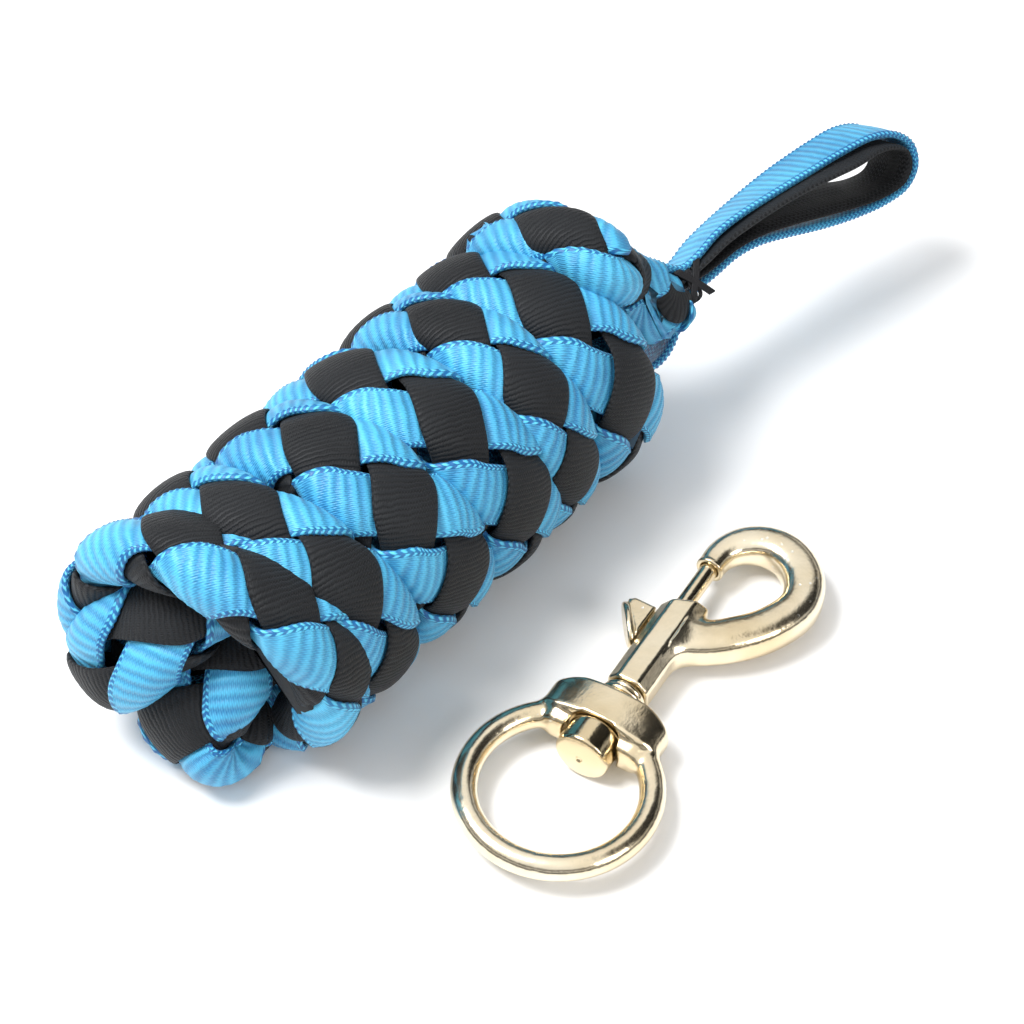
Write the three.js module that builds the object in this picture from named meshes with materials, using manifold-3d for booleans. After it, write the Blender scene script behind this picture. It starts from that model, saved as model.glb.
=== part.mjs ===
// Braided lead rope wound into a hank, with a webbing hand loop and a swivel bolt snap beside it.
// Millimetres, +Z up. +X runs along the hank towards the hand loop, -Y is the side with the snap.
import * as THREE from 'three';
import { mergeVertices } from 'three/addons/utils/BufferGeometryUtils.js';
import Module from 'manifold-3d';

const wasm = await Module();
wasm.setup();

// ---- Driving dimensions -----------------------------------------------------------------------
const GAP = 0.3; // clearance between touching pieces
const DEG = Math.PI / 180;

// Hank of braided rope, seven turns round its own folded runs
const HANK_START = -106; // end with the fold
const HANK_END = 49.5; // end with the hand loop
const HANK_Y = 7.9;
const HANK_R = 32;
const HANK_FLAT = 1.5; // how far the turns flatten where the hank lies on its side
const HANK_ROUND = 9; // radius of the rounded ends

// Short run of rope from the hank to the hand loop
const NECK_SECTION = [6, 4.2]; // half width, half thickness
const NECK_SIDES = 12;
const NECK_STEPS = 4;

// Hand loop of two webbings sewn face to face
const WEB_WIDTH = 16;
const OUTER_WEB = 2.2; // thickness of the outer webbing
const INNER_WEB = 1.6; // thickness of the inner webbing
const LOOP_NECK = new THREE.Vector3(57.6, -9.6, 38);
const LOOP_YAW = -11 * DEG;
const LOOP_ROLL = 27 * DEG;
const LOOP_LINE = [
  [-4, 7.0], [3, 7.5], [9, 9.2], [17, 10.3], [28, 11.1], [40, 11.5], [52, 11.4], [62, 10.6],
  [69, 7.9], [72.9, 3.4], [72.6, -1.6], [68.5, -5.2], [61, -6.1], [51, -5.0], [40, -2.8],
  [29, -0.2], [20, 1.7], [13, 2.0], [6, 1.0], [-4, 0.4],
];
const LOOP_STEPS = 72;
const TACK = { from: -2.6, length: 3.2, thick: 0.7, low: -1.1, high: 8.5 };

// Swivel bolt snap, in its own axes: x from the ring's centre towards the hook, y across, z up
const SNAP_AT = new THREE.Vector3(-58.8, -62.1, 7);
const SNAP_TURN = 8.9 * DEG;
const RING_R = 20;
const RING_WIRE = 2.9;
const BOSS = { from: 16, to: 25.5, halfWidth: 14.5, halfHeight: 7, edge: 1.4 };
const CHEEKS = { from: 11.5, halfWidth: 11.5, halfHeight: 5, edge: 0.8 };
const POCKET_R = 7.3;
const SHANK_R = 2.5;
const SHANK_HOLE_R = 2.8;
const HEAD = { from: 8.5, to: 16.7, r: 6.4, chamfer: 1.0, dome: 0.7 };
const SEAT = 17; // bottom of the pocket that the rivet's head lies in
const WASHER = { from: 25.8, to: 29.2, small: 5.0, large: 5.7 };
const BARREL = { from: 29.5, to: 57.5, half: 5, corner: 2, edge: 0.7 };
const RIVET_END = 32;
const BOLT_Y = 1.2; // the bolt lies slightly off the barrel's middle, in line with the nose
const BOLT_R = 2.0;
const BOLT_TAIL = 48.5;
const BOLT_TIP = 72.6;
const BOLT_TRAVEL = 11;
const BORE_R = 2.4;
const BORE_END = 33;
const SOCKET_END = 73.2;
const SLOT_HALF = 1.7;
const STEM = { from: 49.3, to: 52.3, half: 1.3 };
const KNOB_BASE = 5.7;
const KNOB_LINE = [
  [41.5, KNOB_BASE], [46, 8.6], [50.6, 12.4], [52.4, 12.4], [53.4, 10.8], [53.2, KNOB_BASE],
];
const KNOB_HALF = 3.6;
const KNOB_EDGE = 0.6;
const SPRING = { r: 1.9, wire: 0.3, turns: 6, stepsPerTurn: 12, sides: 6 };

// Hook from the barrel round to the nose: x, y, half width in the plane, half thickness
const HOOK = [
  [45.5, -1.5, 3.2, 3.8], [49.5, -6.3, 4.9, 4.1], [54.5, -12.0, 5.6, 4.3], [61.5, -17.6, 5.3, 4.4],
  [70.5, -21.2, 4.9, 4.5], [78.2, -18.9, 4.8, 4.5], [82.8, -13.2, 4.7, 4.5], [83.4, -7.4, 4.5, 4.3],
  [80.7, -2.2, 4.1, 3.9], [76.0, 0.7, 3.5, 3.4], [70.2, 1.2, 3.1, 3.1],
];
const HOOK_STEPS = 44;
const HOOK_SIDES = 16;
const ROUND_SIDES = 32;

// ---- Materials --------------------------------------------------------------------------------
const BLUE = new THREE.MeshStandardMaterial({ color: 0x3aa5e6, roughness: 0.55, metalness: 0 });
const BLACK = new THREE.MeshStandardMaterial({ color: 0x2c2a2b, roughness: 0.7, metalness: 0 });
const BRASS = new THREE.MeshStandardMaterial({ color: 0xd9c48a, roughness: 0.22, metalness: 1 });
const STEEL = new THREE.MeshStandardMaterial({ color: 0xb9babd, roughness: 0.3, metalness: 1 });

// ---- Solids -----------------------------------------------------------------------------------
function bare(geometry) {
  const copy = geometry.index ? geometry.toNonIndexed() : geometry.clone();
  copy.deleteAttribute('normal');
  copy.deleteAttribute('uv');
  return mergeVertices(copy, 1e-4);
}

function toSolid(geometry) {
  const merged = bare(geometry);
  const vertProperties = new Float32Array(merged.attributes.position.array);
  const triVerts = new Uint32Array(merged.index.array);
  return new wasm.Manifold(new wasm.Mesh({ numProp: 3, vertProperties, triVerts }));
}

function toGeometry(solid) {
  const mesh = solid.getMesh();
  const points = new Float32Array((mesh.vertProperties.length / mesh.numProp) * 3);
  for (let i = 0; i < points.length / 3; i += 1) {
    for (let k = 0; k < 3; k += 1) points[3 * i + k] = mesh.vertProperties[mesh.numProp * i + k];
  }
  const geometry = new THREE.BufferGeometry();
  geometry.setAttribute('position', new THREE.BufferAttribute(points, 3));
  geometry.setIndex(new THREE.BufferAttribute(new Uint32Array(mesh.triVerts), 1));
  return geometry;
}

function named(name, geometry, material) {
  const mesh = new THREE.Mesh(geometry, material);
  mesh.name = name;
  return mesh;
}

// A solid of revolution about the x axis, from [x, radius] pairs that start and end on the axis.
function turned(profile, sides = ROUND_SIDES) {
  const points = profile.map(([x, r]) => new THREE.Vector2(r, x));
  return new THREE.LatheGeometry(points, sides).rotateZ(-Math.PI / 2);
}

function rod(from, to, r, sides = ROUND_SIDES) {
  return turned([[from, 0], [from, r], [to, r], [to, 0]], sides);
}

function box(x0, x1, y0, y1, z0, z1) {
  const geometry = new THREE.BoxGeometry(x1 - x0, y1 - y0, z1 - z0);
  return geometry.translate((x0 + x1) / 2, (y0 + y1) / 2, (z0 + z1) / 2);
}

// A slab with bevelled edges between two heights of z, from an outline in x and y.
function slab(shape, z0, z1, edge, curveSegments = 8) {
  const options = {
    depth: z1 - z0 - 2 * edge, bevelEnabled: true, bevelThickness: edge, bevelSize: edge,
    bevelOffset: -edge, bevelSegments: 2, curveSegments,
  };
  return new THREE.ExtrudeGeometry(shape, options).translate(0, 0, z0 + edge);
}

// The same slab standing across the x axis: the outline's x and y become y and z.
function acrossX(shape, x0, x1, edge, curveSegments) {
  return slab(shape, x0, x1, edge, curveSegments).applyMatrix4(new THREE.Matrix4().set(
    0, 0, 1, 0, 1, 0, 0, 0, 0, 1, 0, 0, 0, 0, 0, 1));
}

// A bar of elliptical section along a curve in the xy plane, each point [x, y, half width, half z].
function taperedBar(stations, steps, sides) {
  const centre = new THREE.CatmullRomCurve3(stations.map(([x, y]) => new THREE.Vector3(x, y, 0)));
  const sizes = new THREE.CatmullRomCurve3(stations.map(([, , w, h]) => new THREE.Vector3(w, h, 0)));
  const points = [];
  for (let i = 0; i <= steps; i += 1) {
    const at = centre.getPoint(i / steps);
    const along = centre.getTangent(i / steps);
    const size = sizes.getPoint(i / steps);
    for (let k = 0; k < sides; k += 1) {
      const angle = (2 * Math.PI * k) / sides;
      const side = size.x * Math.cos(angle);
      points.push(at.x - along.y * side, at.y + along.x * side, size.y * Math.sin(angle));
    }
  }
  const faces = [];
  for (let i = 0; i < steps; i += 1) {
    for (let k = 0; k < sides; k += 1) {
      const a = i * sides + k;
      const b = i * sides + ((k + 1) % sides);
      faces.push(a, b, a + sides, b, b + sides, a + sides);
    }
  }
  for (let k = 1; k < sides - 1; k += 1) {
    const last = steps * sides;
    faces.push(0, k + 1, k, last, last + k, last + k + 1);
  }
  const geometry = new THREE.BufferGeometry();
  geometry.setAttribute('position', new THREE.Float32BufferAttribute(points, 3));
  geometry.setIndex(faces);
  return geometry;
}

// ---- Rope -------------------------------------------------------------------------------------
// The outer shape of the wound rope: round with a flat side that it lies on, and rounded ends.
function ropeHank() {
  const middle = HANK_R - HANK_FLAT;
  const low = -Math.asin(middle / HANK_R);
  const outline = new THREE.Shape();
  outline.absarc(HANK_Y, middle, HANK_R, low, Math.PI - low, false);
  outline.closePath();
  const inset = new THREE.ExtrudeGeometry(outline, {
    depth: HANK_END - HANK_START - 2 * HANK_ROUND, bevelEnabled: true, bevelThickness: HANK_ROUND,
    bevelSize: HANK_ROUND, bevelOffset: -HANK_ROUND, bevelSegments: 4, curveSegments: 40,
  });
  return inset.applyMatrix4(new THREE.Matrix4().set(
    0, 0, 1, HANK_START + HANK_ROUND, 1, 0, 0, 0, 0, 1, 0, 0, 0, 0, 0, 1));
}

// The hand loop's axes: along the loop, through its opening, and from its lower to its upper strap.
function loopFrame() {
  const along = new THREE.Vector3(Math.cos(LOOP_YAW), Math.sin(LOOP_YAW), 0);
  const level = new THREE.Vector3(-Math.sin(LOOP_YAW), Math.cos(LOOP_YAW), 0);
  const through = level.multiplyScalar(Math.cos(LOOP_ROLL));
  through.z = -Math.sin(LOOP_ROLL);
  const up = new THREE.Vector3().crossVectors(along, through);
  return { along, through, up };
}

function ropeNeck(frame) {
  const [startOfWeb, top] = LOOP_LINE[0];
  const low = LOOP_LINE[LOOP_LINE.length - 1][1];
  const end = new THREE.Vector3().copy(LOOP_NECK).addScaledVector(frame.along, startOfWeb);
  end.addScaledVector(frame.up, (top + low) / 2).addScaledVector(frame.through, WEB_WIDTH / 2);
  end.x -= NECK_SECTION[0] * Math.abs(Math.sin(LOOP_YAW)) + GAP;
  const start = new THREE.Vector3(HANK_END + GAP, end.y, end.z);
  const path = new THREE.LineCurve3(start, end);
  const section = new THREE.Shape();
  section.absellipse(0, 0, NECK_SECTION[1], NECK_SECTION[0], 0, 2 * Math.PI, false);
  return new THREE.ExtrudeGeometry(section, {
    steps: NECK_STEPS, extrudePath: path, curveSegments: NECK_SIDES / 2, bevelEnabled: false,
  });
}

// ---- Hand loop --------------------------------------------------------------------------------
// A strip of webbing on edge: the loop's line, moved inwards, thickened, and as wide as the web.
function loopWeb(inwards, thickness) {
  const line = new THREE.CatmullRomCurve3(LOOP_LINE.map(([x, y]) => new THREE.Vector3(x, y, 0)));
  const outer = [];
  const inner = [];
  for (let i = 0; i <= LOOP_STEPS; i += 1) {
    const at = line.getPointAt(i / LOOP_STEPS);
    const along = line.getTangentAt(i / LOOP_STEPS);
    const towards = new THREE.Vector3(along.y, -along.x, 0);
    outer.push(new THREE.Vector2().copy(at).addScaledVector(towards, inwards - thickness / 2));
    inner.push(new THREE.Vector2().copy(at).addScaledVector(towards, inwards + thickness / 2));
  }
  const shape = new THREE.Shape([...outer, ...inner.reverse()]);
  return new THREE.ExtrudeGeometry(shape, { depth: WEB_WIDTH, bevelEnabled: false });
}

// Thread of the bar tack, bound round all four layers at the neck of the loop.
function barTack() {
  const { from, length, thick, low, high } = TACK;
  const outside = box(from, from + length, low - thick, high + thick, -GAP - thick,
    WEB_WIDTH + GAP + thick);
  const inside = box(from - 1, from + length + 1, low, high, -GAP, WEB_WIDTH + GAP);
  return toGeometry(toSolid(outside).subtract(toSolid(inside)));
}

function handLoop() {
  const frame = loopFrame();
  const group = new THREE.Group();
  const axes = new THREE.Matrix4().makeBasis(frame.along, frame.up,
    new THREE.Vector3().copy(frame.through).negate());
  group.quaternion.setFromRotationMatrix(axes);
  group.position.copy(LOOP_NECK);
  const web = new THREE.Group();
  web.position.z = -WEB_WIDTH;
  web.add(named('handle_outer_web', loopWeb(0, OUTER_WEB), BLUE));
  const inwards = (OUTER_WEB + INNER_WEB) / 2 + GAP;
  web.add(named('handle_inner_web', loopWeb(inwards, INNER_WEB), BLACK));
  web.add(named('handle_bar_tack', barTack(), BLACK));
  group.add(web);
  return group;
}

// ---- Snap -------------------------------------------------------------------------------------
// Ring and swivel boss in one casting, with two cheeks beside the rivet's head.
function swivelEye() {
  const ring = new THREE.TorusGeometry(RING_R, RING_WIRE, 12, 56);
  const boss = new THREE.Shape();
  boss.absellipse(0, 0, BOSS.halfWidth, BOSS.halfHeight, 0, 2 * Math.PI, false);
  const cheeks = new THREE.Shape();
  cheeks.absellipse(0, 0, CHEEKS.halfWidth, CHEEKS.halfHeight, 0, 2 * Math.PI, false);
  const casting = toSolid(ring)
    .add(toSolid(acrossX(boss, BOSS.from, BOSS.to, BOSS.edge, ROUND_SIDES)))
    .add(toSolid(acrossX(cheeks, CHEEKS.from, BOSS.from + 2, CHEEKS.edge, ROUND_SIDES / 2)));
  const pocket = toSolid(rod(0, SEAT, POCKET_R));
  const hole = toSolid(rod(SEAT - 1, BOSS.to + 1, SHANK_HOLE_R));
  return toGeometry(casting.subtract(pocket).subtract(hole));
}

function swivelRivet() {
  const { from, to, r, chamfer, dome } = HEAD;
  return turned([
    [from - dome, 0], [from, r - chamfer], [from + chamfer, r], [to, r], [to, SHANK_R],
    [RIVET_END - GAP, SHANK_R], [RIVET_END - GAP, 0],
  ]);
}

function swivelWasher() {
  const { from, to, small, large } = WASHER;
  return turned([
    [from, SHANK_HOLE_R], [from, large], [to - 1.6, large], [to, small], [to, SHANK_HOLE_R],
    [from, SHANK_HOLE_R],
  ]);
}

function roundedSquare(half, corner) {
  const shape = new THREE.Shape();
  const flat = half - corner;
  shape.moveTo(-flat, -half);
  shape.lineTo(flat, -half);
  shape.lineTo(half, -flat);
  shape.lineTo(half, flat);
  shape.lineTo(flat, half);
  shape.lineTo(-flat, half);
  shape.lineTo(-half, flat);
  shape.lineTo(-half, -flat);
  shape.closePath();
  return shape;
}

// Barrel and hook in one casting, bored for the bolt, slotted for its knob, drilled for the rivet.
function hookBody() {
  const barrel = acrossX(roundedSquare(BARREL.half, BARREL.corner), BARREL.from, BARREL.to,
    BARREL.edge);
  const hook = taperedBar(HOOK, HOOK_STEPS, HOOK_SIDES);
  const bore = rod(BORE_END, SOCKET_END, BORE_R).translate(0, BOLT_Y, 0);
  const slot = box(STEM.from - BOLT_TRAVEL - GAP, STEM.to + GAP, BOLT_Y, BARREL.half + 1,
    -SLOT_HALF, SLOT_HALF);
  const drilling = rod(BARREL.from - 1, RIVET_END, SHANK_R + GAP);
  return toGeometry(toSolid(barrel).add(toSolid(hook)).subtract(toSolid(bore))
    .subtract(toSolid(slot)).subtract(toSolid(drilling)));
}

function bolt() {
  return turned([
    [BOLT_TAIL, 0], [BOLT_TAIL, BOLT_R], [BOLT_TIP - 0.8, BOLT_R], [BOLT_TIP, BOLT_R - 0.8],
    [BOLT_TIP, 0],
  ]).translate(0, BOLT_Y, 0);
}

function thumbKnob() {
  const paddle = new THREE.Shape(KNOB_LINE.map(([x, y]) => new THREE.Vector2(x, y)));
  const stem = box(STEM.from, STEM.to, BOLT_Y + BOLT_R + GAP, KNOB_BASE + 1, -STEM.half, STEM.half);
  return toGeometry(toSolid(slab(paddle, -KNOB_HALF, KNOB_HALF, KNOB_EDGE)).add(toSolid(stem)));
}

// Spring behind the bolt, at the length it has with the snap closed.
function boltSpring() {
  const start = BORE_END + GAP + SPRING.wire;
  const length = BOLT_TAIL - GAP - SPRING.wire - start;
  const count = SPRING.turns * SPRING.stepsPerTurn;
  const points = [];
  for (let i = 0; i <= count; i += 1) {
    const angle = (2 * Math.PI * i) / SPRING.stepsPerTurn;
    points.push(new THREE.Vector3(start + (length * i) / count,
      BOLT_Y + SPRING.r * Math.cos(angle), SPRING.r * Math.sin(angle)));
  }
  const wire = new THREE.Shape();
  wire.absarc(0, 0, SPRING.wire, 0, 2 * Math.PI, false);
  return new THREE.ExtrudeGeometry(wire, {
    steps: count, extrudePath: new THREE.CatmullRomCurve3(points),
    curveSegments: SPRING.sides / 2, bevelEnabled: false,
  });
}

function snap() {
  const group = new THREE.Group();
  group.position.copy(SNAP_AT);
  group.rotation.z = SNAP_TURN;
  group.add(named('swivel_eye', swivelEye(), BRASS));
  group.add(named('swivel_rivet', swivelRivet(), BRASS));
  group.add(named('swivel_washer', swivelWasher(), BRASS));
  group.add(named('hook_body', hookBody(), BRASS));
  group.add(named('bolt_plunger', bolt(), BRASS));
  group.add(named('thumb_knob', thumbKnob(), BRASS));
  group.add(named('bolt_spring', boltSpring(), STEEL));
  return group;
}

// ---- Assembly ---------------------------------------------------------------------------------
// The origin is under the middle of the whole object, on the surface it lies on.
function centred(parts) {
  parts.updateMatrixWorld(true);
  const bounds = new THREE.Box3().setFromObject(parts, true);
  const middle = bounds.getCenter(new THREE.Vector3());
  parts.position.set(-middle.x, -middle.y, -bounds.min.z);
  const root = new THREE.Group();
  root.add(parts);
  return root;
}

const leadRope = new THREE.Group();
leadRope.add(named('rope_hank', ropeHank(), BLUE));
leadRope.add(named('rope_neck', ropeNeck(loopFrame()), BLUE));
leadRope.add(handLoop());
leadRope.add(snap());

export default centred(leadRope);
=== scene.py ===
"""Braided lead rope in a hank, with a webbing hand loop and a swivel bolt snap beside it."""
import math

import bpy
import numpy as np
import openvdb
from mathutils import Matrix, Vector


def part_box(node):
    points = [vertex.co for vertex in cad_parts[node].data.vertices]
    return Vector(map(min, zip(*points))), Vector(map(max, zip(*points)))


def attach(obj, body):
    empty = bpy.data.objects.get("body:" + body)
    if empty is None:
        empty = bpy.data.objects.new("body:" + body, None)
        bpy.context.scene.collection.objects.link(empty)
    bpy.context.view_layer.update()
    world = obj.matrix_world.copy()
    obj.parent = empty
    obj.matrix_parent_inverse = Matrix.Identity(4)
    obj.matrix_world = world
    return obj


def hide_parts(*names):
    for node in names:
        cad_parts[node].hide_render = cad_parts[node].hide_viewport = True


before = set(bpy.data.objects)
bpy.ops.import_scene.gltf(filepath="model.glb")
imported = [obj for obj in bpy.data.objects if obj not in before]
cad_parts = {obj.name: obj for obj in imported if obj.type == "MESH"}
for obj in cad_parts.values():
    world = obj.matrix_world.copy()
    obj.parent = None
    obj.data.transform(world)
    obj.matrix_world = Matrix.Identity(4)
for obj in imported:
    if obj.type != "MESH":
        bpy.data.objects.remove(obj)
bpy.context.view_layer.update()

MM = 0.001
RNG = np.random.default_rng(7)


# ---- Places worked out from the frame ---------------------------------------------------------
# Lengths below are millimetres. HANK is the point on the floor under the middle of the hank.
def node_box(name):
    low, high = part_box(name)
    return np.array(low) / MM, np.array(high) / MM


hank_low, hank_high = node_box("rope_hank")
HANK = np.array([(hank_low[0] + hank_high[0]) / 2, (hank_low[1] + hank_high[1]) / 2, 0.0])
# The point that the snap and the hand loop are laid out from.
BASE = HANK + np.array([28.25, -7.9, 0.0])


# ---- Camera -----------------------------------------------------------------------------------
CAMERA_AZIMUTH, CAMERA_ELEVATION = -50, 48  # degrees, round from the front and up
CAMERA_DISTANCE = 0.574  # metres
CAMERA_LENS = 85


def make_camera():
    azimuth, elevation = math.radians(CAMERA_AZIMUTH), math.radians(CAMERA_ELEVATION)
    back = Vector((math.sin(azimuth) * math.cos(elevation),
                   -math.cos(azimuth) * math.cos(elevation), math.sin(elevation)))
    target = Vector(BASE * MM)
    data = bpy.data.cameras.new("camera")
    data.lens = CAMERA_LENS
    data.clip_start = 0.01
    camera = bpy.data.objects.new("camera", data)
    camera.location = target + back * CAMERA_DISTANCE
    camera.rotation_euler = back.to_track_quat("Z", "Y").to_euler()
    bpy.context.scene.collection.objects.link(camera)
    bpy.context.scene.camera = camera


make_camera()


# ---- Small tools ------------------------------------------------------------------------------
def unit(v):
    return v / np.linalg.norm(v, axis=-1, keepdims=True)


def hermite(xs, ys, at):
    """Shape-preserving cubic through (xs, ys), straight beyond both ends."""
    xs, ys, at = np.asarray(xs, float), np.asarray(ys, float), np.asarray(at, float)
    h = np.diff(xs)
    d = np.diff(ys) / h
    m = np.zeros_like(ys)
    w1, w2 = 2 * h[1:] + h[:-1], h[1:] + 2 * h[:-1]
    same = d[:-1] * d[1:] > 0
    safe0, safe1 = np.where(same, d[:-1], 1), np.where(same, d[1:], 1)
    m[1:-1] = np.where(same, (w1 + w2) / (w1 / safe0 + w2 / safe1), 0)
    m[0], m[-1] = d[0], d[-1]
    i = np.clip(np.searchsorted(xs, at) - 1, 0, len(xs) - 2)
    t = (at - xs[i]) / h[i]
    inside = np.clip(t, 0, 1)
    t2, t3 = inside ** 2, inside ** 3
    y = ((2 * t3 - 3 * t2 + 1) * ys[i] + (t3 - 2 * t2 + inside) * h[i] * m[i]
         + (3 * t2 - 2 * t3) * ys[i + 1] + (t3 - t2) * h[i] * m[i + 1])
    return y + np.where(t < 0, t * h[i] * m[i], 0) + np.where(t > 1, (t - 1) * h[i] * m[i + 1], 0)


def catmull(points, per_span):
    """A dense smooth curve through the points, with centripetal spacing."""
    points = np.asarray(points, float)
    ends = (2 * points[0] - points[1], 2 * points[-1] - points[-2])
    p = np.vstack([ends[0], points, ends[1]])
    steps = np.maximum(np.linalg.norm(np.diff(p[:, :3], axis=0), axis=1), 1e-6) ** 0.5
    knots = np.concatenate([[0], np.cumsum(steps)])
    out = []
    for i in range(1, len(p) - 2):
        t = np.linspace(knots[i], knots[i + 1], per_span, endpoint=False)[:, None]
        k = knots[i - 1:i + 3]
        a = [((k[j + 1] - t) * p[i - 1 + j] + (t - k[j]) * p[i + j]) / (k[j + 1] - k[j])
             for j in range(3)]
        b = [((k[j + 2] - t) * a[j] + (t - k[j]) * a[j + 1]) / (k[j + 2] - k[j]) for j in range(2)]
        out.append(((k[2] - t) * b[0] + (t - k[1]) * b[1]) / (k[2] - k[1]))
    out.append(p[-2][None])
    return np.vstack(out)


def even(points, spacing):
    """The same polyline, all columns, at even steps of its first three."""
    at = np.concatenate([[0], np.cumsum(np.linalg.norm(np.diff(points[:, :3], axis=0), axis=1))])
    count = max(2, int(round(at[-1] / spacing)) + 1)
    where = np.linspace(0, at[-1], count)
    return np.stack([np.interp(where, at, points[:, k]) for k in range(points.shape[1])], 1)


def mesh_object(name, verts, faces, material, uvs=None):
    """verts in millimetres; faces an (n, 4) array; uvs one pair for each vertex, in millimetres."""
    mesh = bpy.data.meshes.new(name)
    faces = np.asarray(faces, np.int32)
    mesh.vertices.add(len(verts))
    mesh.vertices.foreach_set("co", (np.asarray(verts) * MM).astype(np.float32).ravel())
    mesh.loops.add(faces.size)
    mesh.loops.foreach_set("vertex_index", faces.ravel())
    mesh.polygons.add(len(faces))
    mesh.polygons.foreach_set("loop_start", np.arange(len(faces), dtype=np.int32) * 4)
    mesh.polygons.foreach_set("use_smooth", np.full(len(faces), True))
    mesh.update(calc_edges=True)
    mesh.validate()
    if uvs is not None:
        layer = mesh.uv_layers.new(name="tape")
        layer.data.foreach_set("uv", np.asarray(uvs, np.float32)[faces.ravel()].ravel())
    mesh.materials.append(material)
    thing = bpy.data.objects.new(name, mesh)
    bpy.context.scene.collection.objects.link(thing)
    return thing


# ---- Materials --------------------------------------------------------------------------------
class Nodes:
    """Short helpers to write a material's node tree."""

    def __init__(self, name):
        self.material = bpy.data.materials.new(name)
        self.material.use_nodes = True
        self.tree = self.material.node_tree
        self.shader = self.tree.nodes["Principled BSDF"]

    def add(self, kind, **settings):
        node = self.tree.nodes.new(kind)
        for key, value in settings.items():
            setattr(node, key, value)
        return node

    def link(self, source, target):
        if isinstance(source, (int, float, tuple)):
            target.default_value = source
        else:
            self.tree.links.new(source, target)

    def maths(self, operation, *inputs):
        node = self.add("ShaderNodeMath", operation=operation)
        for i, value in enumerate(inputs):
            self.link(value, node.inputs[i])
        return node.outputs[0]

    def noise(self, vector, scale, detail):
        node = self.add("ShaderNodeTexNoise")
        node.inputs["Scale"].default_value = scale
        node.inputs["Detail"].default_value = detail
        node.inputs["Roughness"].default_value = 0.55
        self.link(vector, node.inputs["Vector"])
        return node.outputs["Fac"]

    def ramp(self, value, stops):
        node = self.add("ShaderNodeValToRGB")
        ramp = node.color_ramp
        while len(ramp.elements) < len(stops):
            ramp.elements.new(0.5)
        for element, (place, colour) in zip(ramp.elements, stops):
            element.position = place
            element.color = (*colour, 1)
        self.link(value, node.inputs[0])
        return node.outputs["Color"]

    def mix(self, factor, a, b):
        node = self.add("ShaderNodeMix", data_type="RGBA")
        self.link(factor, node.inputs["Factor"])
        self.link(a if not isinstance(a, tuple) else (*a, 1), node.inputs[6])
        self.link(b if not isinstance(b, tuple) else (*b, 1), node.inputs[7])
        return node.outputs[2]

    def grey(self, value):
        """The value as a colour, kept between black and white."""
        return self.mix(value, (0, 0, 0), (1, 1, 1))

    def bump(self, height, strength, distance):
        node = self.add("ShaderNodeBump")
        node.inputs["Strength"].default_value = strength
        node.inputs["Distance"].default_value = distance
        self.link(height, node.inputs["Height"])
        return node.outputs["Normal"]

    def finish(self, colour, roughness, normal, **sockets):
        self.link(colour, self.shader.inputs["Base Color"])
        self.link(roughness, self.shader.inputs["Roughness"])
        if normal is not None:
            self.link(normal, self.shader.inputs["Normal"])
        for key, value in sockets.items():
            self.shader.inputs[key.replace("_", " ")].default_value = value
        return self.material


def tape_wave(nodes, coordinate, pitch):
    """A wave from 0 to 1 with the given pitch in millimetres of tape, 0 at the start."""
    turns = nodes.maths("MULTIPLY", coordinate, 2 * math.pi / pitch)
    return nodes.maths("MULTIPLY_ADD", nodes.maths("COSINE", turns), -0.5, 0.5)


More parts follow.
